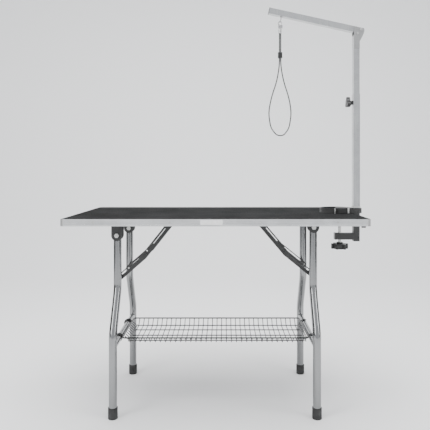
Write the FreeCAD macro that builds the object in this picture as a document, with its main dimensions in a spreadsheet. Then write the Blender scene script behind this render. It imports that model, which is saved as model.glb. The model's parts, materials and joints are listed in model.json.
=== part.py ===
"""Folding grooming table: steel-framed top, two folding leg frames, wire tray, clamp-on arm and noose.

Millimetres. +X runs along the table towards the arm, -Y is the long side with the name plate,
+Z is up, and the origin is on the floor under the middle of the whole object.
"""

import FreeCAD, Part
import math
import os

import Sketcher
from FreeCAD import Placement, Rotation, Vector

SIZES = {
    # whole table
    "board_shift": -27.4,
    "board_length": 1168.0,
    "board_width": 610.0,
    "table_height": 787.0,
    # top
    "board_thick": 18.0,
    "mat_thick": 3.0,
    "edge_depth": 26.5,
    "edge_wall": 2.0,
    "edge_ledge": 15.0,
    "edge_ledge_thick": 1.5,
    "corner_size": 14.0,
    "edge_screw_head": 4.2,
    "edge_screw_shank": 2.0,
    "plate_length": 84.0,
    "plate_depth": 18.0,
    # leg frames
    "left_leg_x": -403.0,
    "right_leg_x": 396.0,
    "left_pivot_z": 705.0,
    "right_pivot_z": 738.0,
    "leg_radius": 16.0,
    "leg_wall": 1.5,
    "leg_top_y": 130.0,
    "leg_foot_y": 217.0,
    "leg_bend_top_z": 483.0,
    "leg_bend_low_z": 327.0,
    "leg_bend_radius": 90.0,
    "crossbar_radius": 12.5,
    "crossbar_z": 276.0,
    "foot_radius": 19.0,
    "foot_height": 42.0,
    "foot_pad": 8.0,
    "pivot_bolt_radius": 5.0,
    "pivot_hole_radius": 5.06,
    "cheek_thick": 2.5,
    "cheek_width": 44.0,
    "cheek_gap": 33.0,
    "base_thick": 3.0,
    # folding braces
    "brace_up_reach": 208.0,
    "brace_up_z": 745.0,
    "left_brace_leg_z": 524.0,
    "right_brace_leg_z": 540.0,
    "link_width": 24.0,
    "link_thick": 5.0,
    "upper_link_y": 101.0,
    "lower_link_y": 107.0,
    "rivet_radius": 4.0,
    "rivet_hole_radius": 4.06,
    "link_window": 6.0,
    # wire tray
    "rim_z": 287.0,
    "rim_radius": 3.0,
    "rim_y": 137.0,
    "rim_left_x": -383.0,
    "rim_right_x": 378.0,
    "floor_z": 260.5,
    "floor_y": 107.5,
    "wire_radius": 1.8,
    "long_wire_radius": 2.2,
    "wire_pitch": 21.0,
    "hook_radius": 2.5,
    "hook_y": 100.0,
    "sleeve_inner": 12.56,
    "sleeve_outer": 14.4,
    # clamp and post
    "post_x": 597.5,
    "arm_y": -30.0,
    "spine_wide": 26.0,
    "spine_deep": 26.0,
    "spine_wall": 2.7,
    "spine_low_z": 667.0,
    "jaw_depth": 22.0,
    "jaw_reach": 74.0,
    "low_jaw_reach": 80.0,
    "low_jaw_z": 674.0,
    "low_jaw_depth": 28.0,
    "screw_x": 527.5,
    "screw_radius": 6.0,
    "clamp_knob_radius": 36.5,
    "clamp_knob_depth": 22.0,
    "post_size": 28.0,
    "post_wall": 1.2,
    "post_low_z": 817.0,
    "post_top_z": 1296.0,
    "inner_size": 25.0,
    "inner_wall": 1.5,
    "inner_low_z": 1010.0,
    "inner_top_z": 1546.0,
    "height_knob_z": 1259.0,
    "height_knob_radius": 25.0,
    "height_knob_depth": 14.0,
    "side_knob_z": 745.0,
    "side_knob_radius": 22.0,
    "side_knob_depth": 18.0,
    # arm
    "arm_pin_x": 616.0,
    "arm_pin_z": 1569.6,
    "arm_slope": 12.4,
    "stop_pin_x": 600.8,
    "stop_pin_z": 1552.5,
    "stop_pin_radius": 3.0,
    "arm_size": 25.0,
    "arm_wall": 1.5,
    "arm_reach": 399.5,
    "arm_heel": 8.5,
    "arm_drop": 3.6,
    "gusset_thick": 2.5,
    "pin_radius": 4.0,
    "pin_hole_radius": 4.06,
    "eye_reach": 343.0,
    "eye_drop": 30.0,
    "eye_ring": 7.0,
    "eye_wire": 2.0,
    # noose
    "snap_ring": 8.0,
    "cord_radius": 2.5,
    "cord_gap": 2.8,
}

doc = FreeCAD.newDocument("grooming_table")
sheet = doc.addObject("Spreadsheet::Sheet", "sizes")
for row, (alias, value) in enumerate(SIZES.items(), start=1):
    sheet.set(f"A{row}", alias)
    sheet.set(f"B{row}", str(value))
    sheet.setAlias(f"B{row}", alias)
doc.recompute()


class Read:
    """The sheet's sizes as plain numbers."""

    def __getattr__(self, alias):
        return float(getattr(sheet, alias))


d = Read()
Z_AXIS = Vector(0, 0, 1)
WAYS = {
    "x": Vector(1, 0, 0), "y": Vector(0, 1, 0), "z": Z_AXIS,
    "-x": Vector(-1, 0, 0), "-y": Vector(0, -1, 0), "-z": Vector(0, 0, -1),
}
ENDS = (("left", 1), ("right", -1))
LONG_SIDES = (("front", -1), ("rear", 1))
parts = []
# Fixed pieces of the same kind from both ends of the table, gathered into one sub-part each.
fixed = {"leg_brackets": [], "pivot_bolts": [], "brace_brackets": [], "brace_pivots": [],
         "bracket_screws": []}


# ---------------------------------------------------------------- helpers
def bind(item, **rules):
    for size, rule in rules.items():
        item.setExpression(size, rule)
    return item


def at(x, y, z):
    """A place given from the middle of the board in X, from the middle in Y and from the floor."""
    return Vector(x + d.board_shift, y, z)


def box(name, low, **rules):
    item = bind(doc.addObject("Part::Box", name), **rules)
    item.Placement.Base = low
    return item


def rod(name, start, way, **rules):
    item = bind(doc.addObject("Part::Cylinder", name), **rules)
    item.Placement = Placement(start, Rotation(Z_AXIS, WAYS[way]))
    return item


def cut(name, base, *tools):
    item = doc.addObject("Part::Cut", name)
    item.Base = base
    item.Tool = tools[0] if len(tools) == 1 else group(name + "_tools", *tools)
    return item


def fuse(name, *shapes):
    item = doc.addObject("Part::MultiFuse", name)
    item.Shapes = list(shapes)
    return item


def group(name, *shapes):
    item = doc.addObject("Part::Compound", name)
    item.Links = list(shapes)
    return item


def feature(name, shape):
    item = doc.addObject("Part::Feature", name)
    item.Shape = shape
    return item


def part(label, item):
    item.Label = label
    parts.append(item)
    return item


def arc_ring(name, centre, start, end, ring, wire):
    """A round wire bent about a Y axis, from the angle start to the angle end as the front shows it."""
    item = bind(doc.addObject("Part::Torus", name), Radius1=ring, Radius2=wire)
    item.Angle3 = end - start
    turn = Rotation(Vector(0, 1, 0), -end).multiply(Rotation(Vector(1, 0, 0), -90))
    item.Placement = Placement(centre, turn)
    return item


def route(points, radii):
    """Straight runs joined by tangent arcs; radii holds one radius for each inner point."""
    edges = []
    start = points[0]
    for before, corner, after, radius in zip(points, points[1:], points[2:], radii):
        inward = (before - corner).normalize()
        onward = (after - corner).normalize()
        half = inward.getAngle(onward) / 2
        back = radius / math.tan(half)
        centre = corner + (inward + onward).normalize() * (radius / math.sin(half))
        first, last = corner + inward * back, corner + onward * back
        middle = centre + (corner - centre).normalize() * radius
        edges += [Part.makeLine(start, first), Part.Arc(first, middle, last).toShape()]
        start = last
    edges.append(Part.makeLine(start, points[-1]))
    return Part.Wire(edges)


def swept(points, radii, radius):
    """A solid round bar along a route."""
    spine = route(points, radii)
    way = points[1] - points[0]
    profile = Part.Wire([Part.makeCircle(radius, points[0], way)])
    solid = spine.makePipeShell([profile], True, True)
    expected = math.pi * radius**2 * spine.Length
    if abs(solid.Volume - expected) > 0.01 * expected:
        raise ValueError(f"a swept bar has volume {solid.Volume:.0f}, not {expected:.0f}")
    return solid


def straight(start, end, radius):
    return Part.makeCylinder(radius, (end - start).Length, start, end - start)


def square_tube(name, low, length, size, wall):
    """An upright square tube; low is the middle of its lower end."""
    outer = box(name + "_outer", low - Vector(size[1], size[1], 0) / 2,
                Length=size[0], Width=size[0], Height=length[0])
    inner = box(name + "_inner", low - Vector(size[1] - 2 * wall[1], size[1] - 2 * wall[1], 2) / 2,
                Length=f"{size[0]} - 2 * {wall[0]}", Width=f"{size[0]} - 2 * {wall[0]}",
                Height=f"{length[0]} + 2")
    return outer, inner


def size(alias):
    """The sheet's name for a size, and its value."""
    return "sizes." + alias, getattr(d, alias)


# ---------------------------------------------------------------- table top
def sketch_on(body, role, name):
    planes = {feature.Role: feature for feature in body.Origin.OriginFeatures}
    sketch = body.newObject("Sketcher::SketchObject", name)
    sketch.AttachmentSupport = [(planes[role], "")]
    sketch.MapMode = "FlatFace"
    return sketch


def slab(name, length, width, thick, corner, low):
    """A rounded rectangular board, centred in plan, with its underside at low."""
    body = doc.addObject("PartDesign::Body", name)
    sketch = sketch_on(body, "XY_Plane", name + "_outline")
    corners = [Vector(-1, -1), Vector(1, -1), Vector(1, 1), Vector(-1, 1)]
    for here, there in zip(corners, corners[1:] + corners[:1]):
        sketch.addGeometry(Part.LineSegment(here * 50, there * 50), False)
    for side in range(4):
        sketch.addConstraint(Sketcher.Constraint("Coincident", side, 2, (side + 1) % 4, 1))
        sketch.addConstraint(Sketcher.Constraint("Horizontal" if side % 2 == 0 else "Vertical", side))
    sketch.addConstraint(Sketcher.Constraint("Symmetric", 0, 1, 1, 2, -1, 1))
    for side, rule, word in ((0, length, "length"), (1, width, "width")):
        index = sketch.addConstraint(Sketcher.Constraint("Distance", side, 100))
        sketch.renameConstraint(index, word)
        sketch.setExpression("Constraints." + word, rule)
    pad = body.newObject("PartDesign::Pad", name + "_pad")
    pad.Profile = sketch
    bind(pad, Length=thick)
    doc.recompute()
    uprights = [
        f"Edge{number}" for number, edge in enumerate(pad.Shape.Edges, start=1)
        if abs(edge.tangentAt(edge.FirstParameter).z) > 0.99
    ]
    fillet = body.newObject("PartDesign::Fillet", name + "_corners")
    fillet.Base = (pad, uprights)
    bind(fillet, Radius=corner)
    body.Placement.Base = low
    return body


def edge_screw_places():
    """Where the edging's screws go, and the way each one points."""
    z = d.table_height - d.edge_depth / 2 + 1
    half_long, half_wide = d.board_length / 2, d.board_width / 2
    for side, way in ((-1, "y"), (1, "-y")):
        for x in (-459, -171, 171, 459):
            yield at(x, side * half_wide, z), way
    for side, way in ((-1, "x"), (1, "-x")):
        for y in (-190, 190):
            yield at(side * half_long, y, z), way


def edge_trim(name, length, low, turn):
    """An aluminium edging: a wall with a ledge that carries the board."""
    wall = box(name + "_wall", Vector(0, 0, 0),
               Length=length, Width="sizes.edge_wall", Height="sizes.edge_depth")
    ledge_z = d.edge_depth - d.mat_thick - d.board_thick - d.edge_ledge_thick
    ledge = box(name + "_ledge", Vector(0, 0, ledge_z - 0.2),
                Length=length, Width="sizes.edge_ledge", Height="sizes.edge_ledge_thick")
    bead = rod(name + "_bead", Vector(0, 0.75, 4), "x", Radius="1", Height=length)
    trim = fuse(name + "_profile", wall, ledge, bead)
    trim.Placement = Placement(low, Rotation(Z_AXIS, turn))
    return trim


def table_top():
    inset = "(sizes.edge_wall + 0.2)"
    board = slab("board", f"sizes.board_length - 2 * {inset}", f"sizes.board_width - 2 * {inset}",
                 "sizes.board_thick", "sizes.corner_size - sizes.edge_wall",
                 at(0, 0, d.table_height - d.mat_thick - d.board_thick))
    mat = slab("mat", f"sizes.board_length - 2 * {inset}", f"sizes.board_width - 2 * {inset}",
               "sizes.mat_thick", "sizes.corner_size - sizes.edge_wall",
               at(0, 0, d.table_height - d.mat_thick))
    part("rubber_mat", mat)

    heads, shanks, bores = [], [], []
    for count, (place, way) in enumerate(edge_screw_places()):
        outward = WAYS[way] * -1
        heads.append(rod(f"edge_head_{count}", place + outward * 1.2, way,
                         Radius="sizes.edge_screw_head", Height="1.2"))
        shanks.append(rod(f"edge_shank_{count}", place, way,
                          Radius="sizes.edge_screw_shank", Height="16"))
        bores.append(rod(f"edge_bore_{count}", place + outward * 3, way,
                         Radius="sizes.edge_screw_shank", Height="19"))
    screws = [fuse(f"edge_screw_{count}", *pair) for count, pair in enumerate(zip(heads, shanks))]
    part("edge_screws", group("edge_screw_set", *screws))
    part("tabletop_board", cut("bored_board", board, *bores))

    low_z = d.table_height - d.edge_depth
    half_long, half_wide = d.board_length / 2, d.board_width / 2
    size_corner = d.corner_size
    trims = (
        ("front_edge_trim", "sizes.board_length - 2 * sizes.corner_size",
         at(-half_long + size_corner, -half_wide, low_z), 0),
        ("rear_edge_trim", "sizes.board_length - 2 * sizes.corner_size",
         at(half_long - size_corner, half_wide, low_z), 180),
        ("left_edge_trim", "sizes.board_width - 2 * sizes.corner_size",
         at(-half_long, half_wide - size_corner, low_z), -90),
        ("right_edge_trim", "sizes.board_width - 2 * sizes.corner_size",
         at(half_long, -half_wide + size_corner, low_z), 90),
    )
    bored = {name: cut(name + "_bored", edge_trim(name, length, low, turn), *bores)
             for name, length, low, turn in trims}
    part("long_edge_trims", group("long_trim_pair", bored["front_edge_trim"], bored["rear_edge_trim"]))
    part("short_edge_trims", group("short_trim_pair", bored["left_edge_trim"], bored["right_edge_trim"]))

    caps = []
    for x_side in (-1, 1):
        for y_side in (-1, 1):
            name = f"cap_{'lr'[x_side > 0]}{'fr'[y_side > 0]}"
            middle = at(x_side * (half_long - size_corner), y_side * (half_wide - size_corner), low_z)
            outer = rod(name + "_outer", middle, "z",
                        Radius="sizes.corner_size", Height="sizes.edge_depth")
            inner = rod(name + "_inner", middle - Z_AXIS, "z",
                        Radius="sizes.corner_size - sizes.edge_wall", Height="sizes.edge_depth + 2")
            quarter = box(name + "_quarter", middle - Vector(x_side < 0, y_side < 0, 0) * size_corner,
                          Length="sizes.corner_size", Width="sizes.corner_size",
                          Height="sizes.edge_depth")
            common = doc.addObject("Part::Common", name + "_wedge")
            common.Base, common.Tool = outer, quarter
            caps.append(cut(name, common, inner))
    part("corner_caps", group("corner_cap_set", *caps))

    plate_low = at(-15 - d.plate_length / 2, -half_wide - 0.6, d.table_height - 3 - d.plate_depth)
    part("name_plate", box("blank_plate", plate_low, Length="sizes.plate_length",
                           Width="0.6", Height="sizes.plate_depth"))


# ---------------------------------------------------------------- leg frames
def leg_tube(name, x, side, top_z, hole_z, stud_z):
    """One bent leg: an outer and an inner sweep, with the pivot and brace holes cut across it."""
    top, foot = side * d.leg_top_y, side * d.leg_foot_y
    points = [at(x, top, top_z), at(x, top, d.leg_bend_top_z),
              at(x, foot, d.leg_bend_low_z), at(x, foot, d.foot_pad)]
    bends = [d.leg_bend_radius] * 2
    outer = feature(name + "_outer", swept(points, bends, d.leg_radius))
    inner = feature(name + "_inner", swept(points, bends, d.leg_radius - d.leg_wall))
    pivot = rod(name + "_pivot_hole", at(x, top - 20, hole_z), "y",
                Radius="sizes.pivot_hole_radius", Height="40")
    stud = rod(name + "_stud_hole", at(x, top, stud_z), "-y" if side > 0 else "y",
               Radius="sizes.rivet_radius", Height="20")
    return outer, cut(name, cut(name + "_hollow", outer, inner), pivot, stud)


def pivot_bolt(name, x, side, z):
    """A hex bolt through bracket and leg, its head on the outer side and its nut on the inner one."""
    head_y = side * (d.leg_top_y + d.cheek_gap / 2 + d.cheek_thick)
    nut_y = side * (d.leg_top_y - d.cheek_gap / 2 - d.cheek_thick)
    inward = "-y" if side > 0 else "y"
    outward = "y" if side > 0 else "-y"
    shank = rod(name + "_shank", at(x, head_y, z), inward, Radius="sizes.pivot_bolt_radius",
                Height="sizes.cheek_gap + 2 * sizes.cheek_thick + 6")
    head = doc.addObject("Part::Prism", name + "_head")
    nut = doc.addObject("Part::Prism", name + "_nut")
    for hexagon, y, way in ((head, head_y, outward), (nut, nut_y, inward)):
        hexagon.Polygon = 6
        bind(hexagon, Circumradius="1.9 * sizes.pivot_bolt_radius", Height="5")
        hexagon.Placement = Placement(at(x, y, z), Rotation(Z_AXIS, WAYS[way]))
    return fuse(name, shank, head, nut)


def leg_bracket(name, x, side, z):
    """A U-shaped bracket under the board: a base plate and two round-ended cheeks."""
    under = d.table_height - d.mat_thick - d.board_thick
    half = d.cheek_width / 2
    base = box(name + "_base", at(x - half, side * d.leg_top_y - 38, under - d.base_thick),
               Length="sizes.cheek_width", Width="76", Height="sizes.base_thick")
    solids = [base]
    for word, offset in (("a", -d.cheek_gap / 2 - d.cheek_thick), ("b", d.cheek_gap / 2)):
        y = side * d.leg_top_y + offset
        solids.append(rod(f"{name}_round_{word}", at(x, y, z), "y",
                          Radius="sizes.cheek_width / 2", Height="sizes.cheek_thick"))
        cheek = box(f"{name}_cheek_{word}", at(x - half, y, z), Length="sizes.cheek_width",
                    Width="sizes.cheek_thick")
        cheek.Height = under - d.base_thick - z
        solids.append(cheek)
    hole = rod(name + "_hole", at(x, side * d.leg_top_y - 40, z), "y",
               Radius="sizes.pivot_bolt_radius", Height="80")
    return cut(name, fuse(name + "_blank", *solids), hole)


def leg_frame(word, x, pivot_z, stud_z, rise):
    """Two bent legs, the crossbar between them, their feet, brackets and bolts."""
    outers, feet = [], []
    for place, side in LONG_SIDES:
        name = f"{word}_{place}_leg"
        outer, tube = leg_tube(name + "_tube", x, side, pivot_z + rise, pivot_z, stud_z)
        outers.append(outer)
        part(name, tube)
        fixed["leg_brackets"].append(leg_bracket(f"{name}_bracket", x, side, pivot_z))
        fixed["pivot_bolts"].append(pivot_bolt(f"{name}_bolt", x, side, pivot_z))
        foot = rod(f"{name}_foot", at(x, side * d.leg_foot_y, 0), "z",
                   Radius="sizes.foot_radius", Height="sizes.foot_height")
        socket = rod(f"{name}_socket", at(x, side * d.leg_foot_y, d.foot_pad), "z",
                     Radius="sizes.leg_radius", Height="sizes.foot_height")
        feet.append(cut(f"{name}_shoe", foot, socket))
        for step in (-31, 31):
            z = d.table_height - d.mat_thick - d.board_thick - d.base_thick
            fixed["bracket_screws"].append(
                rod(f"{name}_screw_{'ab'[step > 0]}", at(x, side * d.leg_top_y + step, z), "-z",
                    Radius="4", Height="2"))
    bar = rod(f"{word}_bar", at(x, -d.leg_foot_y, d.crossbar_z), "y",
              Radius="sizes.crossbar_radius", Height="2 * sizes.leg_foot_y")
    part(f"{word}_crossbar", cut(f"{word}_bar_saddled", bar, *outers))
    part(f"{word}_feet", group(f"{word}_foot_pair", *feet))


# ---------------------------------------------------------------- folding braces
def meet(first, second, first_length, second_length, turn):
    """Where two links from two pivots meet, on the side that turn names (1 or -1)."""
    gap = second - first
    along = (first_length**2 - second_length**2 + gap.Length**2) / (2 * gap.Length)
    off = math.sqrt(first_length**2 - along**2)
    ahead = Vector(gap).normalize()
    return first + ahead * along + Vector(-ahead.z, 0, ahead.x) * off * turn


def brace_layout(word, way):
    """The pivots and link lengths of one side's braces; way is 1 on the left and -1 on the right."""
    leg_x = d.left_leg_x if word == "left" else d.right_leg_x
    pivot_z = d.left_pivot_z if word == "left" else d.right_pivot_z
    stud_z = d.left_brace_leg_z if word == "left" else d.right_brace_leg_z
    upper = at(leg_x + way * d.brace_up_reach, 0, d.brace_up_z)
    lower = at(leg_x, 0, stud_z)
    total = (upper - lower).Length + 1.3
    difference = d.brace_up_reach - (pivot_z - stud_z)
    upper_length, lower_length = (total + difference) / 2, (total - difference) / 2
    elbow = meet(upper, lower, upper_length, lower_length, way)
    return upper, lower, elbow


def link(name, start, end, y_low, window_up, holes):
    """A flat link with a long window and round ends, from one pivot to the other."""
    reach = (end - start).Length
    bar = box(name + "_bar", Vector(0, 0, -d.link_width / 2),
              Length=f"{reach}", Width="sizes.link_thick", Height="sizes.link_width")
    ends = [
        rod(f"{name}_end_{word}", Vector(x, 0, 0), "y",
            Radius="sizes.link_width / 2", Height="sizes.link_thick")
        for word, x in (("a", 0), ("b", reach))
    ]
    window_low = 1.5 if window_up else -1.5 - d.link_window
    window = box(name + "_window", Vector(22, -1, window_low), Length=f"{reach - 44}",
                 Width="sizes.link_thick + 2", Height="sizes.link_window")
    groove_z = -7.5 if window_up else 3.5
    grooves = [
        box(f"{name}_groove_{word}", Vector(16, y, groove_z),
            Length=f"{reach - 32}", Width="1.2", Height="4")
        for word, y in (("a", -0.2), ("b", d.link_thick - 1))
    ]
    bores = [
        rod(f"{name}_bore_{word}", Vector(x, -1, 0), "y",
            Radius=f"sizes.{hole}", Height="sizes.link_thick + 2")
        for word, x, hole in (("a", 0, holes[0]), ("b", reach, holes[1]))
    ]
    item = cut(name, fuse(name + "_blank", bar, *ends), window, *grooves, *bores)
    slope = -math.degrees(math.atan2(end.z - start.z, end.x - start.x))
    item.Placement = Placement(Vector(start.x, y_low, start.z), Rotation(Vector(0, 1, 0), slope))
    return item


def braces(word, way):
    """Front and rear braces of one leg frame: brackets, upper links, lower links, studs and rivets."""
    upper, lower, elbow = brace_layout(word, way)
    under = d.table_height - d.mat_thick - d.board_thick - d.base_thick
    uppers, lowers, studs = [], [], []
    for place, side in LONG_SIDES:
        name = f"{word}_{place}_brace"
        inward = "-y" if side > 0 else "y"
        outward = "y" if side > 0 else "-y"

        def layer(inner, thick):
            """The lower Y of a layer that starts at inner, measured out from the middle."""
            return inner if side > 0 else -inner - thick

        uppers.append(link(name + "_upper", upper, elbow,
                                    layer(d.upper_link_y, d.link_thick), way < 0,
                                    ("rivet_hole_radius", "rivet_radius")))
        lowers.append(link(name + "_lower", lower, elbow,
                                    layer(d.lower_link_y, d.link_thick), way > 0,
                                    ("rivet_hole_radius", "rivet_radius")))
        ear_y = layer(97.8, 2.9)
        ear_low = upper + Vector(-12, ear_y, 0)
        ear = box(name + "_ear", ear_low, Length="24", Width="2.9",
                  Height=f"{under - upper.z}")
        tip = rod(name + "_ear_tip", upper + Vector(0, ear_y, 0), "y",
                  Radius="12", Height="2.9")
        base = box(name + "_base", Vector(upper.x - 23, layer(82, 32), under),
                   Length="46", Width="32", Height="sizes.base_thick")
        hole = rod(name + "_ear_hole", upper + Vector(0, layer(90, 20), 0), "y",
                   Radius="sizes.rivet_radius", Height="20")
        fixed["brace_brackets"].append(
            cut(name + "_bracket", fuse(name + "_angle", ear, tip, base), hole))
        pin = rod(name + "_pin", upper + Vector(0, side * 97.8, 0), outward,
                  Radius="sizes.rivet_radius", Height="8.1")
        pin_head = rod(name + "_pin_head", upper + Vector(0, side * 97.8, 0), inward,
                       Radius="6.5", Height="2")
        fixed["brace_pivots"].append(fuse(name + "_pivot_rivet", pin, pin_head))
        stud = rod(name + "_stud_pin", lower + Vector(0, side * 107.2, 0), outward,
                   Radius="sizes.rivet_radius", Height="11")
        collar = rod(name + "_stud_collar", lower + Vector(0, side * 112.3, 0), outward,
                     Radius="7", Height="1.6")
        studs.append(fuse(name + "_stud", stud, collar))
        for step in (-17, 17):
            fixed["bracket_screws"].append(
                rod(f"{name}_screw_{'ab'[step > 0]}", Vector(upper.x + step, side * 91, under), "-z",
                    Radius="3.5", Height="1.8"))
        upper_rivet = rod(name + "_elbow_upper", elbow + Vector(0, side * 99.5, 0), outward,
                          Radius="sizes.rivet_radius", Height="6.5")
        upper_head = rod(name + "_elbow_head_u", elbow + Vector(0, side * 101, 0), inward,
                         Radius="6.5", Height="1.5")
        lower_rivet = rod(name + "_elbow_lower", elbow + Vector(0, side * 107.3, 0), outward,
                          Radius="sizes.rivet_radius", Height="6.2")
        lower_head = rod(name + "_elbow_head_l", elbow + Vector(0, side * 112, 0), outward,
                         Radius="6.5", Height="1.5")
        uppers.append(fuse(name + "_elbow_rivet_u", upper_rivet, upper_head))
        lowers.append(fuse(name + "_elbow_rivet_l", lower_rivet, lower_head))
    part(f"{word}_upper_braces", group(f"{word}_upper_brace_pair", *uppers))
    part(f"{word}_lower_braces", group(f"{word}_lower_brace_pair", *lowers))
    part(f"{word}_brace_studs", group(f"{word}_brace_stud_pair", *studs))


# ---------------------------------------------------------------- wire tray
def side_wall(side):
    """A long wall: rim wire, foot wire, and the upturned ends of the cross wires."""
    rim = straight(at(d.rim_left_x + 16, side * d.rim_y, d.rim_z),
                   at(d.rim_right_x - 16, side * d.rim_y, d.rim_z), d.rim_radius)
    foot_z = d.floor_z + d.wire_radius + d.long_wire_radius
    foot = straight(at(d.rim_left_x + 24, side * (d.floor_y - 8), foot_z),
                    at(d.rim_right_x - 12, side * (d.floor_y - 8), foot_z), d.long_wire_radius)
    solids = [rim, foot]
    for x in cross_wire_places():
        points = [at(x, side * (d.floor_y - 12), d.floor_z), at(x, side * d.floor_y, d.floor_z),
                  at(x, side * (d.rim_y - 1.5), d.rim_z - d.rim_radius - 0.3)]
        solids.append(swept(points, [6.0], d.wire_radius))
    return Part.makeCompound(solids)


def cross_wire_places():
    first = d.rim_left_x + 24
    count = int((d.rim_right_x - 12 - first) // d.wire_pitch) + 1
    return [first + 2 + d.wire_pitch * step for step in range(count)]


def tray_floor():
    solids = [
        straight(at(x, -d.floor_y + 12, d.floor_z), at(x, d.floor_y - 12, d.floor_z), d.wire_radius)
        for x in cross_wire_places()
    ]
    z = d.floor_z + d.wire_radius + d.long_wire_radius
    for y in (-36, 36):
        solids.append(straight(at(d.rim_left_x + 24, y, z), at(d.rim_right_x - 12, y, z),
                               d.long_wire_radius))
    return Part.makeCompound(solids)


def end_wall(rim_x, foot_x, inward):
    """A short wall: the rim wire with its two rounded corners, a foot wire and uprights."""
    rim = swept([at(rim_x + inward * 16, -d.rim_y, d.rim_z), at(rim_x, -d.rim_y, d.rim_z),
                 at(rim_x, d.rim_y, d.rim_z), at(rim_x + inward * 16, d.rim_y, d.rim_z)],
                [14.0, 14.0], d.rim_radius)
    foot_z = d.floor_z + d.wire_radius + d.long_wire_radius
    solids = [rim, straight(at(foot_x, -d.floor_y, foot_z), at(foot_x, d.floor_y, foot_z),
                            d.long_wire_radius)]
    for step in range(-4, 5):
        top = at(rim_x + inward * 2.2, step * 24, d.rim_z - d.rim_radius - d.wire_radius)
        low = at(foot_x - inward * 2, step * 24, foot_z + d.long_wire_radius)
        solids.append(straight(low, top, d.wire_radius))
    return Part.makeCompound(solids)


def tray():
    part("tray_floor", feature("tray_floor_wires", tray_floor()))
    for place, side in LONG_SIDES:
        part(f"tray_{place}_wall", feature(f"tray_{place}_wires", side_wall(side)))
    left_foot, right_foot = d.rim_left_x + 20, d.rim_right_x - 8
    part("tray_left_wall", feature("tray_left_wires", end_wall(d.rim_left_x, left_foot, 1)))
    part("tray_right_wall", feature("tray_right_wires", end_wall(d.rim_right_x, right_foot, -1)))
    hooks, sleeves = [], []
    for place, side in LONG_SIDES:
        for word, leg_x, rim_x, ring, start, end in (
            ("left", d.left_leg_x, d.rim_left_x, "sizes.sleeve_outer + 0.3 + sizes.hook_radius",
             None, 205),
            ("right", d.right_leg_x, d.rim_right_x, "sizes.crossbar_radius + 0.5 + sizes.hook_radius",
             55, None),
        ):
            name = f"{word}_{place}_hook"
            bar = at(leg_x, side * d.hook_y, d.crossbar_z)
            rim = at(rim_x, side * d.hook_y, d.rim_z)
            angle = math.degrees(math.atan2(rim.z - bar.z, rim.x - bar.x))
            curl = arc_ring(name + "_curl", bar, start or angle, end or angle, ring, "sizes.hook_radius")
            radius = 16.5 if word == "left" else 15.0
            outward = (rim - bar).normalize()
            stem = rod(name + "_stem", bar + outward * radius, "z", Radius="sizes.hook_radius")
            stem.Height = (rim - bar).Length - radius - d.rim_radius - 0.1
            stem.Placement = Placement(bar + outward * radius, Rotation(Z_AXIS, outward))
            hooks.append(fuse(name, curl, stem))
        outer = rod(f"sleeve_{place}_outer", at(d.left_leg_x, side * d.hook_y - 9, d.crossbar_z), "y",
                    Radius="sizes.sleeve_outer", Height="18")
        inner = rod(f"sleeve_{place}_inner", at(d.left_leg_x, side * d.hook_y - 10, d.crossbar_z), "y",
                    Radius="sizes.sleeve_inner", Height="20")
        sleeves.append(cut(f"sleeve_{place}", outer, inner))
    part("tray_hooks", group("tray_hook_set", *hooks))
    part("tray_sleeves", group("tray_sleeve_pair", *sleeves))


# ---------------------------------------------------------------- knobs
def lobed_knob(name, lobes, radius, depth, hub, hub_depth, bore):
    """A knob along +Z: a round core with lobes round it, and a hub below that holds the screw."""
    body = doc.addObject("PartDesign::Body", name)
    core = sketch_on(body, "XY_Plane", name + "_core")
    core.addGeometry(Part.Circle(Vector(0, 0, 0), Z_AXIS, 10), False)
    core.addConstraint(Sketcher.Constraint("Coincident", 0, 3, -1, 1))
    core.renameConstraint(core.addConstraint(Sketcher.Constraint("Radius", 0, 10)), "core")
    core.setExpression("Constraints.core", f"{radius} * 0.74")
    pad = body.newObject("PartDesign::Pad", name + "_pad")
    pad.Profile = core
    bind(pad, Length=depth)
    lobe = sketch_on(body, "XY_Plane", name + "_lobe")
    lobe.addGeometry(Part.Circle(Vector(20, 0, 0), Z_AXIS, 8), False)
    lobe.addConstraint(Sketcher.Constraint("PointOnObject", 0, 3, -1))
    lobe.renameConstraint(lobe.addConstraint(Sketcher.Constraint("Radius", 0, 8)), "lobe")
    lobe.renameConstraint(
        lobe.addConstraint(Sketcher.Constraint("DistanceX", -1, 1, 0, 3, 20)), "reach")
    lobe.setExpression("Constraints.lobe", f"{radius} * {1.1 / lobes:.4f}")
    lobe.setExpression("Constraints.reach", f"{radius} * {1 - 1.1 / lobes:.4f}")
    lobe_pad = body.newObject("PartDesign::Pad", name + "_lobe_pad")
    lobe_pad.Profile = lobe
    bind(lobe_pad, Length=depth)
    pattern = body.newObject("PartDesign::PolarPattern", name + "_pattern")
    pattern.Originals = [lobe_pad]
    pattern.Axis = (lobe, ["N_Axis"])
    pattern.Angle = 360
    pattern.Occurrences = lobes
    body.Tip = pattern
    doc.recompute()
    top = [
        f"Edge{number}" for number, edge in enumerate(pattern.Shape.Edges, start=1)
        if edge.BoundBox.ZMin > depth_of(depth) - 0.01
    ]
    fillet = body.newObject("PartDesign::Fillet", name + "_rounding")
    fillet.Base = (pattern, top)
    fillet.Radius = 2.0
    body.Tip = fillet
    doc.recompute()
    neck = rod(name + "_neck", Vector(0, 0, -hub_depth), "z", Radius=hub)
    neck.Height = hub_depth
    hole = rod(name + "_hole", Vector(0, 0, -hub_depth - 1), "z", Radius=bore)
    hole.Height = hub_depth + 9
    return cut(name + "_bored", fuse(name + "_whole", body, neck), hole)


def depth_of(rule):
    return getattr(d, rule.split(".")[1])


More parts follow.
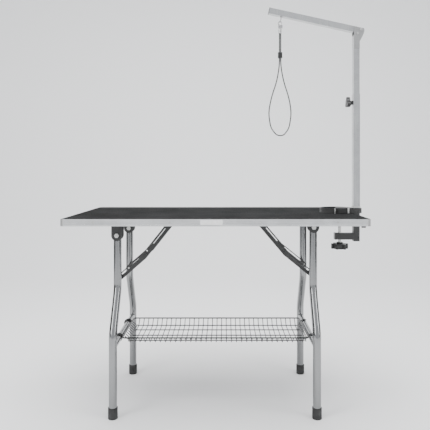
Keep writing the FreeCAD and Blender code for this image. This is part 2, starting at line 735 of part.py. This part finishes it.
# ---------------------------------------------------------------- clamp and post
def clamp():
    """The clamp that grips the board's edge, with its screw, pad and knobs."""
    x, y = d.post_x, d.arm_y
    spine = box("spine_outer", at(x - d.spine_wide / 2, y - d.spine_deep / 2, d.spine_low_z),
                Length="sizes.spine_wide", Width="sizes.spine_deep",
                Height="sizes.table_height + sizes.jaw_depth + 0.4 - sizes.spine_low_z")
    half_in = d.spine_wide / 2 - d.spine_wall
    spine_hole = box("spine_inner", at(x - half_in, y - half_in, d.spine_low_z - 1),
                     Length="sizes.spine_wide - 2 * sizes.spine_wall",
                     Width="sizes.spine_deep - 2 * sizes.spine_wall", Height="200")
    knob_hole = rod("spine_knob_hole", at(x, y, d.side_knob_z), "x", Radius="4", Height="30")
    part("clamp_spine", cut("spine_tube", spine, spine_hole, knob_hole))

    face_x = x - d.spine_wide / 2
    jaw = box("upper_jaw_bar", at(face_x - d.jaw_reach, y - 12.5, d.table_height + 0.4),
              Length="sizes.jaw_reach", Width="25", Height="sizes.jaw_depth")
    part("clamp_upper_jaw", jaw)
    low = box("lower_jaw_bar", at(face_x - d.low_jaw_reach, y - 12.5, d.low_jaw_z),
              Length="sizes.low_jaw_reach", Width="25", Height="sizes.low_jaw_depth")
    bore = rod("lower_jaw_bore", at(d.screw_x, y, d.low_jaw_z - 1), "z",
               Radius="sizes.screw_radius + 0.06", Height="sizes.low_jaw_depth + 2")
    part("clamp_lower_jaw", cut("lower_jaw", low, bore))

    under = d.table_height - d.mat_thick - d.board_thick
    pad = rod("pad_disc", at(d.screw_x, y, under - 6.4), "z", Radius="20", Height="6")
    cup = rod("pad_cup", at(d.screw_x, y, under - 16), "z", Radius="10", Height="10")
    seat = rod("pad_seat", at(d.screw_x, y, under - 17), "z",
               Radius="sizes.screw_radius + 0.06", Height="9")
    part("clamp_pad", cut("pressure_pad", fuse("pad_blank", pad, cup), seat))
    screw = rod("screw_rod", at(d.screw_x, y, 648), "z", Radius="sizes.screw_radius")
    screw.Height = under - 8.6 - 648
    part("clamp_screw", screw)
    knob = lobed_knob("clamp_knob_body", 6, "sizes.clamp_knob_radius", "sizes.clamp_knob_depth",
                      "13", 6.0, "sizes.screw_radius")
    knob.Placement = Placement(at(d.screw_x, y, 656), Rotation(Vector(1, 0, 0), 180))
    part("clamp_knob", knob)

    side = lobed_knob("side_knob_body", 6, "sizes.side_knob_radius", "sizes.side_knob_depth",
                      "8", 6.0, "4")
    side_x = x + d.spine_wide / 2 + 5.5
    side.Placement = Placement(at(side_x + 6, y, d.side_knob_z), Rotation(Z_AXIS, WAYS["x"]))
    side_screw = rod("side_screw_rod", at(x + d.spine_wide / 2 - 2.4, y, d.side_knob_z), "x",
                     Radius="3.95", Height="20")
    part("side_knob", group("side_knob_set", side, side_screw))


def post():
    """The square spigot in the clamp, the fixed outer post and the sliding inner post."""
    x, y = d.post_x, d.arm_y
    spigot_half = d.spine_wide / 2 - d.spine_wall - 0.3
    spigot = box("spigot_bar", at(x - spigot_half, y - spigot_half, 700), Height="210",
                 Length="sizes.spine_wide - 2 * sizes.spine_wall - 0.6",
                 Width="sizes.spine_deep - 2 * sizes.spine_wall - 0.6")
    part("post_spigot", spigot)
    collar = box("collar_block", at(x - 15, y - 15, d.table_height + d.jaw_depth + 0.4),
                 Length="30", Width="30", Height="7.4")
    collar_hole = box("collar_hole", at(x - spigot_half, y - spigot_half, 800), Height="30",
                      Length="sizes.spine_wide - 2 * sizes.spine_wall - 0.6",
                      Width="sizes.spine_deep - 2 * sizes.spine_wall - 0.6")
    part("post_collar", cut("post_collar_ring", collar, collar_hole))

    low = at(x, y, d.post_low_z)
    tall = ("sizes.post_top_z - sizes.post_low_z", None)
    outer, inner = square_tube("outer_post", low, tall, size("post_size"), size("post_wall"))
    screw_hole = rod("height_screw_hole", at(x - 20, y, d.height_knob_z), "x",
                     Radius="4.06", Height="12")
    part("outer_post", cut("outer_post_tube", outer, inner, screw_hole))
    nut = box("height_nut_block", at(x - d.post_size / 2 - 6, y - 8, d.height_knob_z - 8),
              Length="6", Width="16", Height="16")
    nut_hole = rod("height_nut_hole", at(x - 30, y, d.height_knob_z), "x",
                   Radius="4.06", Height="20")
    part("height_nut", cut("height_nut_bored", nut, nut_hole))
    knob = lobed_knob("height_knob_body", 3, "sizes.height_knob_radius", "sizes.height_knob_depth",
                      "8", 6.0, "4")
    knob_x = x - d.post_size / 2 - 7 - 6
    knob.Placement = Placement(at(knob_x, y, d.height_knob_z), Rotation(Z_AXIS, WAYS["-x"]))
    screw = rod("height_screw_rod", at(x - d.inner_size / 2 - 0.4, y, d.height_knob_z), "-x",
                Radius="4", Height="22")
    part("height_knob", group("height_knob_set", knob, screw))

    inner_low = at(x, y, d.inner_low_z)
    inner_tall = ("sizes.inner_top_z - sizes.inner_low_z", None)
    outer, inner = square_tube("inner_post", inner_low, inner_tall, size("inner_size"), size("inner_wall"))
    part("inner_post", cut("inner_post_tube", outer, inner))


def gusset(name, y_low):
    """A side plate of the arm's hinge, welded to the inner post."""
    x = d.post_x
    corners = [(x - 12.5, 1490), (x - 12.5, 1583), (x + 32, 1573), (x + 32, 1561)]
    curve = [(x + 24, 1541), (x + 12.5, 1520)]
    points = [at(px, y_low, pz) for px, pz in corners]
    through, last = [at(px, y_low, pz) for px, pz in curve]
    edges = [Part.makeLine(here, there) for here, there in zip(points, points[1:])]
    edges.append(Part.Arc(points[-1], through, last).toShape())
    foot = at(x + 12.5, y_low, 1490)
    edges += [Part.makeLine(last, foot), Part.makeLine(foot, points[0])]
    plate = Part.Face(Part.Wire(edges)).extrude(Vector(0, d.gusset_thick, 0))
    holes = [
        Part.makeCylinder(d.pin_radius, 20, at(d.arm_pin_x, y_low - 5, d.arm_pin_z), WAYS["y"]),
        Part.makeCylinder(d.stop_pin_radius, 20, at(d.stop_pin_x, y_low - 5, d.stop_pin_z), WAYS["y"]),
    ]
    return feature(name, plate.cut(holes))


def crosswise_pin(name, x, z, radius, head):
    """A headed pin through both side plates of the hinge."""
    half = d.inner_size / 2 + 0.4 + d.gusset_thick
    shank = rod(name + "_shank", at(x, d.arm_y - half - 1, z), "y", Radius=radius)
    shank.Height = 2 * half + 2
    caps = []
    for word, start, way in (("a", -half, "-y"), ("b", half, "y")):
        cap = rod(f"{name}_cap_{word}", at(x, d.arm_y + start, z), way, Radius=head, Height="2.5")
        caps.append(cap)
    return fuse(name, shank, *caps)


def in_arm(x, y, z):
    """A place given from the arm's pin, along the arm and square to it."""
    turn = Rotation(Vector(0, 1, 0), d.arm_slope)
    return at(d.arm_pin_x, d.arm_y, d.arm_pin_z) + turn.multVec(Vector(x, y, z))


def arm():
    half = d.inner_size / 2 + 0.4
    part("hinge_plates", group("hinge_plate_pair",
                               gusset("front_plate", d.arm_y - half - d.gusset_thick),
                               gusset("rear_plate", d.arm_y + half)))
    pivot_pin = crosswise_pin("pivot_pin", d.arm_pin_x, d.arm_pin_z, "sizes.pin_radius", "6.5")
    stop_pin = crosswise_pin("stop_pin", d.stop_pin_x, d.stop_pin_z, "sizes.stop_pin_radius", "5")
    part("arm_pins", group("arm_pin_pair", pivot_pin, stop_pin))

    turn = Rotation(Vector(0, 1, 0), d.arm_slope)
    length = "sizes.arm_reach + sizes.arm_heel"
    low = in_arm(-d.arm_reach, -d.arm_size / 2, -d.arm_drop - d.arm_size / 2)
    outer = box("arm_outer", low, Length=length, Width="sizes.arm_size", Height="sizes.arm_size")
    wall = d.arm_wall
    inner = box("arm_inner", in_arm(-d.arm_reach - 1, -d.arm_size / 2 + wall,
                                    -d.arm_drop - d.arm_size / 2 + wall),
                Length=length + " + 2", Width="sizes.arm_size - 2 * sizes.arm_wall",
                Height="sizes.arm_size - 2 * sizes.arm_wall")
    hole = rod("arm_pin_hole", in_arm(0, -20, 0), "y", Radius="sizes.pin_hole_radius", Height="40")
    eye_hole = rod("arm_eye_hole", in_arm(-d.eye_reach, 0, -d.arm_drop - 17), "z",
                   Radius="2.5", Height="10")
    for item in (outer, inner, eye_hole):
        item.Placement.Rotation = turn
    part("arm_tube", cut("arm_square_tube", outer, inner, hole, eye_hole))

    plugs = []
    for word, x in (("tip", -d.arm_reach - 2), ("heel", d.arm_heel)):
        flange = box(f"plug_{word}_flange", in_arm(x, -d.arm_size / 2, -d.arm_drop - d.arm_size / 2),
                     Length="2", Width="sizes.arm_size", Height="sizes.arm_size")
        reach = 8 if word == "tip" else 3.5
        start = x + 2 if word == "tip" else x - reach
        stub = box(f"plug_{word}_stub", in_arm(start, -d.arm_size / 2 + wall,
                                               -d.arm_drop - d.arm_size / 2 + wall),
                   Width="sizes.arm_size - 2 * sizes.arm_wall",
                   Height="sizes.arm_size - 2 * sizes.arm_wall")
        stub.Length = reach
        for item in (flange, stub):
            item.Placement.Rotation = turn
        plugs.append(fuse(f"plug_{word}", flange, stub))
    part("arm_end_plugs", group("arm_plug_pair", *plugs))

    eye = in_arm(-d.eye_reach, 0, -d.arm_drop - d.eye_drop)
    ring = bind(doc.addObject("Part::Torus", "eye_ring"),
                Radius1="sizes.eye_ring", Radius2="sizes.eye_wire")
    ring.Placement = Placement(eye, turn.multiply(Rotation(Z_AXIS, WAYS["x"])))
    stem_low = in_arm(-d.eye_reach, 0, -d.arm_drop - d.eye_drop + d.eye_ring)
    stem = rod("eye_stem", stem_low, "z", Radius="2.5", Height="17")
    collar = rod("eye_collar", in_arm(-d.eye_reach, 0, -d.arm_drop - d.arm_size / 2 - 2.2), "z",
                 Radius="5.5", Height="2")
    for item in (stem, collar):
        item.Placement.Rotation = turn
    part("leash_eye", fuse("eye_screw", ring, stem, collar))


# ---------------------------------------------------------------- noose
# Where the noose cord goes, from its crimp down, round and back up: X from the crimp, then Z.
NOOSE_ROUTE = [
    (-2.8, 0), (-2.8, -140), (-15, -208), (-37, -272), (-50, -340), (-40, -404), (-15, -436),
    (14, -438), (38, -407), (49, -341), (38, -274), (16, -209), (2.8, -140), (2.8, 0),
]


def noose():
    """The snap hook that hangs from the eye, the crimp below it, the cord loop and its slider."""
    seat = in_arm(-d.eye_reach, 0, -d.arm_drop - d.eye_drop - d.eye_ring)
    hook = seat - Z_AXIS * (d.snap_ring - 2 * d.eye_wire - 0.3)
    ring = arc_ring("snap_ring", hook, 50, 285, "sizes.snap_ring", "sizes.eye_wire")
    block = box("snap_block", hook + Vector(-8, -4, -22), Length="18", Width="8", Height="14")
    bore = rod("snap_bore", hook + Vector(6.2, 0, -20.5), "z", Radius="1.36", Height="14")
    stem = rod("snap_stem", hook + Vector(0, 0, -29), "z", Radius="2.5", Height="8")
    head = rod("snap_head", hook + Vector(0, 0, -31), "z", Radius="4", Height="2.5")
    part("snap_hook", cut("snap_body", fuse("snap_blank", ring, block, stem, head), bore))
    bolt = rod("gate_rod", hook + Vector(6.2, 0, -12), "z", Radius="1.3", Height="16.5")
    thumb = rod("gate_thumb", hook + Vector(6.2, 0, -0.5), "-y", Radius="1.2", Height="6")
    part("snap_gate", fuse("gate_bolt", bolt, thumb))

    barrel = rod("crimp_barrel", hook + Vector(0, 0, -44), "z", Radius="6.8", Height="17.5")
    chamber = rod("crimp_chamber", hook + Vector(0, 0, -33), "z", Radius="4.2", Height="5")
    neck = rod("crimp_neck", hook + Vector(0, 0, -29), "z", Radius="2.56", Height="4")
    part("noose_crimp", cut("crimp_body", barrel, chamber, neck))

    top = hook + Vector(0, 0, -44)
    points = [top + Vector(x, 0, z) for x, z in NOOSE_ROUTE]
    radii = []
    for before, corner, after in zip(points, points[1:], points[2:]):
        turn = (corner - before).getAngle(after - corner)
        shorter = min((corner - before).Length, (after - corner).Length)
        radii.append(0.45 * shorter / math.tan(turn / 2))
    print("noose bend radii:", [round(radius) for radius in radii])
    print("noose length:", round(route(points, radii).Length))
    part("noose_cord", feature("noose_tube", swept(points, radii, d.cord_radius)))

    low = top + Vector(0, 0, -105)
    shell = box("slider_shell", low + Vector(-9, -5.5, 0), Length="18", Width="11", Height="24")
    slots = [
        rod(f"slider_slot_{word}", low + Vector(x, 0, -1), "z",
            Radius="sizes.cord_radius + 0.5", Height="26")
        for word, x in (("a", -d.cord_gap), ("b", d.cord_gap))
    ]
    part("noose_slider", cut("slider_body", shell, fuse("slider_slots", *slots)))


# ---------------------------------------------------------------- strap at the post's foot
def post_strap():
    """A spare webbing strap looped round the post and jaw, on edge on the mat, with its fittings."""
    z, tall, thick = d.table_height + 0.5, 21.0, 2.0
    loop_x, loop_y, loop_r = 508.0, d.arm_y + 26, 58.0
    post_r = 22.0
    near, far = at(d.post_x, d.arm_y, z), at(loop_x, loop_y, z)
    gap = near - far
    lean = math.degrees(math.atan2(gap.y, gap.x))
    open_angle = math.degrees(math.acos((loop_r - post_r) / gap.Length))

    def face(grow):
        angles = [math.radians(lean + sign * open_angle) for sign in (1, -1)]
        aims = [Vector(math.cos(a), math.sin(a), 0) for a in angles]
        back = Vector(math.cos(math.radians(lean)), math.sin(math.radians(lean)), 0)
        big, small = loop_r + grow, post_r + grow
        edges = [
            Part.makeLine(far + aims[0] * big, near + aims[0] * small),
            Part.Arc(near + aims[0] * small, near + back * small, near + aims[1] * small).toShape(),
            Part.makeLine(near + aims[1] * small, far + aims[1] * big),
            Part.Arc(far + aims[1] * big, far - back * big, far + aims[0] * big).toShape(),
        ]
        return Part.Face(Part.Wire(edges))

    band = face(thick).cut(face(0)).extrude(Vector(0, 0, tall))
    part("post_strap", feature("strap_band", band))
    aim = Vector(math.cos(math.radians(lean - open_angle)), math.sin(math.radians(lean - open_angle)), 0)
    run = Vector(-aim.y, aim.x, 0)
    start = far + aim * (loop_r + thick + 0.2)
    glides = []
    for count, (shift, wide) in enumerate(((-16, 4), (43, 7))):
        bar = Part.makeBox(wide, 2.5, tall + 1.5, Vector(-wide / 2, 0, 0))
        bar.Placement = Placement(start + run * shift, Rotation(Vector(0, 1, 0), aim))
        glides.append(feature(f"glide_{count}", bar))
    part("strap_glides", group("strap_glide_pair", *glides))
    buckle = Part.makeBox(36, 5, tall - 2, Vector(-18, 0, 1))
    buckle = buckle.makeFillet(2.0, [e for e in buckle.Edges if abs(e.tangentAt(0).y) > 0.9])
    buckle.Placement = Placement(start + run * 14, Rotation(Vector(0, 1, 0), aim))
    part("strap_buckle", feature("strap_buckle_body", buckle))


# ---------------------------------------------------------------- the whole object
table_top()
leg_frame("left", d.left_leg_x, d.left_pivot_z, d.left_brace_leg_z, 28)
leg_frame("right", d.right_leg_x, d.right_pivot_z, d.right_brace_leg_z, 14)
for word, way in ENDS:
    braces(word, way)
for kind, pieces in fixed.items():
    part(kind, group(kind + "_set", *pieces))
tray()
clamp()
post()
arm()
noose()
post_strap()

doc.recompute()
for item in doc.Objects:
    if "Invalid" in item.State or "Error" in item.State:
        raise RuntimeError(f"{item.Name} did not compute: {item.State}")
labels = [item.Label for item in parts]
if len(set(labels)) != len(labels):
    raise RuntimeError("two sub-parts share a name")

os.makedirs("parts", exist_ok=True)
whole = FreeCAD.BoundBox()
for item in parts:
    if item.Shape.isNull() or not item.Shape.isValid():
        raise RuntimeError(f"{item.Label} has no valid shape")
    item.Shape.exportStep(f"parts/{item.Label}.step")
    whole.add(item.Shape.BoundBox)
print(len(parts), "sub-parts")
print("box", whole)
print("noose hangs from", in_arm(-d.eye_reach, 0, -d.arm_drop - d.eye_drop - d.eye_ring))
for word, way in ENDS:
    print(word, "brace pivots", *brace_layout(word, way))
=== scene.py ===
import json
import math

import bpy
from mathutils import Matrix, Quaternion, Vector


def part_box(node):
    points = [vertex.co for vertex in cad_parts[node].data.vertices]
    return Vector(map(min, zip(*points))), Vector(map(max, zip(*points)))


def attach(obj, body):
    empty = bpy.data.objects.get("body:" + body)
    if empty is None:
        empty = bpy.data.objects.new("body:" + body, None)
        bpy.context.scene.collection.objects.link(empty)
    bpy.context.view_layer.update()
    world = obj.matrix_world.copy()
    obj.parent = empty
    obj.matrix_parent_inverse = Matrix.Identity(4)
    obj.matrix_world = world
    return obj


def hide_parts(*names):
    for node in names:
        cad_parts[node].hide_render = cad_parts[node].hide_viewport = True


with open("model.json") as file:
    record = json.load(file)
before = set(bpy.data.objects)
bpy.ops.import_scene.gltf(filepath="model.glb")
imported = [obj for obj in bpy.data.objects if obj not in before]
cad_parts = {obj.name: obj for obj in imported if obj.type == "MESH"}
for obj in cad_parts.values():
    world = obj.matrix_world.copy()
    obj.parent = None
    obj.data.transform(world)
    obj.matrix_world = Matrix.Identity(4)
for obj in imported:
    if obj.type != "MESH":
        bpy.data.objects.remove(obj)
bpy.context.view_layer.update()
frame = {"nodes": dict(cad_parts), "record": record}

nodes = frame["nodes"]


# ---------------------------------------------------------------- camera
def camera():
    data = bpy.data.cameras.new("camera")
    data.lens = 41.98
    data.sensor_width = 36.0
    data.shift_x = -0.0215
    data.shift_y = -0.106
    eye = bpy.data.objects.new("camera", data)
    eye.location = (0.0055, -2.18, 0.9735)
    eye.rotation_euler = (math.radians(90), 0, 0)
    bpy.context.scene.collection.objects.link(eye)
    bpy.context.scene.camera = eye


camera()


# ---------------------------------------------------------------- materials
class Shader:
    """A Principled material, and the nodes that feed it. Textures read metres from the object's own axes."""

    def __init__(self, name, colour, rough, metal=0.0):
        self.material = bpy.data.materials.new(name)
        self.material.use_nodes = True
        self.tree = self.material.node_tree
        self.main = self.tree.nodes["Principled BSDF"]
        self.main.inputs["Base Color"].default_value = (*colour, 1)
        self.main.inputs["Roughness"].default_value = rough
        self.main.inputs["Metallic"].default_value = metal
        self.where = self.tree.nodes.new("ShaderNodeTexCoord").outputs["Object"]
        self.relief = None

    def link(self, a, b):
        self.tree.links.new(a, b)

    def scaled(self, scale, turn=(0, 0, 0)):
        node = self.tree.nodes.new("ShaderNodeMapping")
        node.inputs["Scale"].default_value = scale
        node.inputs["Rotation"].default_value = turn
        self.link(self.where, node.inputs["Vector"])
        return node.outputs["Vector"]

    def noise(self, scale, detail=4.0, stretch=(1, 1, 1), rough=0.55):
        node = self.tree.nodes.new("ShaderNodeTexNoise")
        node.inputs["Scale"].default_value = scale
        node.inputs["Detail"].default_value = detail
        node.inputs["Roughness"].default_value = rough
        self.link(self.scaled(stretch), node.inputs["Vector"])
        return node.outputs["Fac"]

    def wave(self, scale, axis="X", turn=(0, 0, 0)):
        node = self.tree.nodes.new("ShaderNodeTexWave")
        node.bands_direction = axis
        node.inputs["Scale"].default_value = scale
        self.link(self.scaled((1, 1, 1), turn), node.inputs["Vector"])
        return node.outputs["Fac"]

    def cells(self, scale):
        node = self.tree.nodes.new("ShaderNodeTexVoronoi")
        node.inputs["Scale"].default_value = scale
        self.link(self.where, node.inputs["Vector"])
        return node.outputs["Distance"]

    def times(self, a, b):
        node = self.tree.nodes.new("ShaderNodeMath")
        node.operation = "MULTIPLY"
        self.link(a, node.inputs[0])
        self.link(b, node.inputs[1])
        return node.outputs[0]

    def span(self, value, low, high, start=0.3, end=0.7):
        """value between start and end, as a number between low and high."""
        node = self.tree.nodes.new("ShaderNodeMapRange")
        for socket, number in (("From Min", start), ("From Max", end), ("To Min", low), ("To Max", high)):
            node.inputs[socket].default_value = number
        self.link(value, node.inputs["Value"])
        return node.outputs["Result"]

    def rough(self, value, low, high):
        self.link(self.span(value, low, high), self.main.inputs["Roughness"])

    def tint(self, value, low, high, start=0.35, end=0.7):
        node = self.tree.nodes.new("ShaderNodeValToRGB")
        node.color_ramp.elements[0].position = start
        node.color_ramp.elements[0].color = (*low, 1)
        node.color_ramp.elements[1].position = end
        node.color_ramp.elements[1].color = (*high, 1)
        self.link(value, node.inputs["Fac"])
        self.link(node.outputs["Color"], self.main.inputs["Base Color"])

    def bump(self, value, depth, strength=1.0):
        node = self.tree.nodes.new("ShaderNodeBump")
        node.inputs["Distance"].default_value = depth
        node.inputs["Strength"].default_value = strength
        self.link(value, node.inputs["Height"])
        if self.relief is not None:
            self.link(self.relief, node.inputs["Normal"])
        self.relief = node.outputs["Normal"]
        self.link(self.relief, self.main.inputs["Normal"])


def grey(value, tone=0.0):
    return (value, value + tone / 2, value + tone)


def make_materials():
    made = {}

    mat = made["top_mat"] = Shader("top_mat", grey(0.012), 0.9)
    mat.main.inputs["Specular IOR Level"].default_value = 0.05
    grid = mat.times(mat.wave(95, "X"), mat.wave(95, "Y"))
    mat.bump(grid, 0.0006, 0.8)
    mat.bump(mat.noise(900, 2), 0.0002, 0.5)
    mat.tint(mat.noise(7, 5), grey(0.008), grey(0.017, 0.001))
    mat.rough(mat.noise(11, 6), 0.8, 0.95)

    board = made["board"] = Shader("board", (0.05, 0.04, 0.034), 0.5)
    board.tint(board.noise(60, 6, (0.05, 1, 1)), (0.04, 0.032, 0.028), (0.07, 0.056, 0.046))
    board.bump(board.noise(220, 4, (0.06, 1, 1)), 0.0002, 0.4)

    edging = made["edging"] = Shader("edging", grey(0.68, 0.012), 0.26, 1.0)
    edging.rough(edging.noise(160, 4, (0.02, 0.02, 1)), 0.2, 0.36)
    edging.bump(edging.noise(420, 3, (0.015, 0.015, 1)), 0.00008, 0.5)
    edging.tint(edging.noise(14, 6), grey(0.6, 0.01), grey(0.72, 0.012))

    corner = made["corner_metal"] = Shader("corner_metal", grey(0.42), 0.42, 1.0)
    corner.rough(corner.noise(70, 5), 0.34, 0.54)
    corner.bump(corner.noise(500, 3), 0.0001, 0.4)

    fixing = made["bright_fixings"] = Shader("bright_fixings", (0.62, 0.62, 0.6), 0.28, 1.0)
    fixing.rough(fixing.noise(150, 4), 0.2, 0.42)
    fixing.tint(fixing.noise(90, 5), (0.5, 0.5, 0.49), (0.68, 0.68, 0.66))

    label = made["blank_label"] = Shader("blank_label", grey(0.8), 0.3)
    label.rough(label.noise(60, 4), 0.22, 0.4)
    label.tint(label.noise(45, 5), (0.75, 0.75, 0.74), (0.84, 0.84, 0.84))

    for name, shade, low, high, peel in (
        ("black_steel", 0.018, 0.26, 0.44, 650),
        ("tray_wire", 0.016, 0.24, 0.42, 900),
    ):
        coat = made[name] = Shader(name, grey(shade), 0.34)
        coat.rough(coat.noise(45, 5), low, high)
        coat.bump(coat.noise(peel, 2), 0.00016, 0.35)
        coat.tint(coat.noise(25, 6), grey(shade * 0.8), grey(shade * 1.6))

    chrome = made["leg_chrome"] = Shader("leg_chrome", grey(0.25, 0.007), 0.13, 1.0)
    chrome.rough(chrome.noise(26, 6), 0.09, 0.2)
    chrome.bump(chrome.noise(300, 2, (1, 1, 0.03)), 0.00004, 0.3)

    rubber = made["foot_rubber"] = Shader("foot_rubber", grey(0.02), 0.72)
    rubber.rough(rubber.noise(50, 5), 0.58, 0.82)
    rubber.tint(rubber.noise(30, 6), grey(0.013), grey(0.034))
    rubber.bump(rubber.noise(420, 4), 0.0003, 0.4)

    plastic = made["black_plastic"] = Shader("black_plastic", grey(0.014), 0.42)
    plastic.rough(plastic.noise(60, 4), 0.32, 0.5)
    plastic.bump(plastic.cells(1100), 0.00012, 0.35)

    post = made["post_steel"] = Shader("post_steel", grey(0.56, 0.01), 0.2, 1.0)
    post.rough(post.noise(240, 4, (1, 1, 0.02)), 0.14, 0.3)
    post.bump(post.noise(520, 3, (1, 1, 0.012)), 0.00005, 0.4)
    post.tint(post.noise(12, 5), grey(0.47, 0.01), grey(0.57, 0.012))

    hinge = made["hinge_steel"] = Shader("hinge_steel", grey(0.4), 0.34, 1.0)
    hinge.rough(hinge.noise(120, 5), 0.26, 0.46)
    hinge.bump(hinge.noise(420, 3, (1, 1, 0.2)), 0.00008, 0.4)

    snap = made["snap_metal"] = Shader("snap_metal", grey(0.5), 0.22, 1.0)
    snap.rough(snap.noise(140, 4), 0.16, 0.34)

    cord = made["cord_nylon"] = Shader("cord_nylon", grey(0.014), 0.68)
    braid = cord.times(cord.wave(170, "DIAGONAL"), cord.wave(170, "DIAGONAL", (0, math.radians(90), 0)))
    cord.bump(braid, 0.0007, 0.9)
    cord.tint(braid, grey(0.008), grey(0.03), 0.1, 0.8)
    cord.main.inputs["Sheen Weight"].default_value = 0.3

    web = made["webbing"] = Shader("webbing", grey(0.014), 0.75)
    weave = web.times(web.wave(210, "Z"), web.wave(150, "DIAGONAL"))
    web.bump(weave, 0.0006, 0.8)
    web.tint(weave, grey(0.009), grey(0.032), 0.1, 0.8)
    web.main.inputs["Sheen Weight"].default_value = 0.25
    return {name: shader.material for name, shader in made.items()}


materials = make_materials()
slot_of = {item["node"]: item["material_slot"] for item in frame["record"]["subparts"]}
for name, item in nodes.items():
    item.data.materials.clear()
    item.data.materials.append(materials[slot_of[name]])


# ---------------------------------------------------------------- the noose cord
MM = 0.001
# Where the cord goes from the crimp, down, round and back up: millimetres across, then up.
CORD_ROUTE = [
    (-2.8, 0), (-2.8, -140), (-15, -208), (-37, -272), (-50, -340), (-40, -404), (-15, -436),
    (14, -438), (38, -407), (49, -341), (38, -274), (16, -209), (2.8, -140), (2.8, 0),
]
CORD_RADIUS = 0.0025


def rounded(points, share=0.45, steps=14):
    """The route with each corner turned into an arc that takes share of its shorter side."""
    line = [points[0]]
    for before, corner, after in zip(points, points[1:], points[2:]):
        inward, onward = before - corner, after - corner
        back = share * min(inward.length, onward.length)
        inward.normalize()
        onward.normalize()
        half = inward.angle(onward) / 2
        radius = back * math.tan(half)
        centre = corner + (inward + onward).normalized() * (radius / math.sin(half))
        first, last = corner + inward * back - centre, corner + onward * back - centre
        turn = first.rotation_difference(last)
        for step in range(steps + 1):
            line.append(centre + Quaternion().slerp(turn, step / steps) @ first)
    return line + [points[-1]]


def noose_cord():
    low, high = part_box("noose_crimp")
    top = Vector(((low.x + high.x) / 2, (low.y + high.y) / 2, low.z))
    points = rounded([top + Vector((x, 0, z)) * MM for x, z in CORD_ROUTE])
    data = bpy.data.curves.new("noose_rope", "CURVE")
    data.dimensions = "3D"
    data.bevel_depth = CORD_RADIUS
    data.bevel_resolution = 6
    data.use_fill_caps = True
    line = data.splines.new("POLY")
    line.points.add(len(points) - 1)
    for knot, place in zip(line.points, points):
        knot.co = (*place, 1)
    line.use_smooth = True
    rope = bpy.data.objects.new("noose_rope", data)
    bpy.context.scene.collection.objects.link(rope)
    data.materials.append(materials["cord_nylon"])
    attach(rope, "noose")
    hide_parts("noose_cord")


noose_cord()


# ---------------------------------------------------------------- floor and light
def plain(name, colour, rough):
    return Shader(name, colour, rough).material


def backdrop():
    """A pale floor that turns up into a wall behind the table."""
    turn, back, half, front = 1.2, 3.4, 7.0, -4.5
    profile = [(front, 0.0), (back - turn, 0.0)]
    for step in range(1, 17):
        angle = math.radians(90 * step / 16)
        profile.append((back - turn + turn * math.sin(angle), turn - turn * math.cos(angle)))
    profile.append((back, 6.0))
    verts, faces = [], []
    for y, z in profile:
        verts += [(-half, y, z), (half, y, z)]
    for row in range(len(profile) - 1):
        a = 2 * row
        faces.append((a, a + 1, a + 3, a + 2))
    mesh = bpy.data.meshes.new("backdrop")
    mesh.from_pydata(verts, [], faces)
    for face in mesh.polygons:
        face.use_smooth = True
    item = bpy.data.objects.new("backdrop", mesh)
    mesh.materials.append(plain("backdrop", grey(0.92), 0.8))
    bpy.context.scene.collection.objects.link(item)


def lamp(name, place, aim, size, power):
    data = bpy.data.lights.new(name, "AREA")
    data.shape = "RECTANGLE"
    data.size, data.size_y = size
    data.energy = power
    item = bpy.data.objects.new(name, data)
    item.location = place
    item.rotation_euler = (Vector(aim) - Vector(place)).to_track_quat("-Z", "Y").to_euler()
    bpy.context.scene.collection.objects.link(item)


def flag(name, place, size):
    """A dark card beside the camera, out of view, that gives the round metal its dark edges."""
    wide, tall = size[0] / 2, size[1] / 2
    mesh = bpy.data.meshes.new(name)
    corners = [(0, -wide, -tall), (0, wide, -tall), (0, wide, tall), (0, -wide, tall)]
    mesh.from_pydata(corners, [], [(0, 1, 2, 3)])
    item = bpy.data.objects.new(name, mesh)
    item.location = place
    mesh.materials.append(plain(name, grey(0.01), 0.9))
    bpy.context.scene.collection.objects.link(item)


backdrop()
for word, across in (("left", -3.3), ("right", 3.3)):
    flag(f"{word}_flag", (across, -0.6, 0.9), (2.6, 2.0))
lamp("overhead", (0, -0.2, 3.3), (0, 0, 0.6), (3.2, 2.4), 150)
lamp("left_soft", (-2.9, -2.4, 2.0), (0, 0, 0.8), (1.6, 2.4), 60)
lamp("right_soft", (3.1, -1.6, 1.5), (0, 0, 0.9), (1.0, 2.2), 38)
world = bpy.data.worlds.new("studio")
world.use_nodes = True
world.node_tree.nodes["Background"].inputs["Color"].default_value = (0.95, 0.97, 1, 1)
world.node_tree.nodes["Background"].inputs["Strength"].default_value = 1.15
bpy.context.scene.world = world
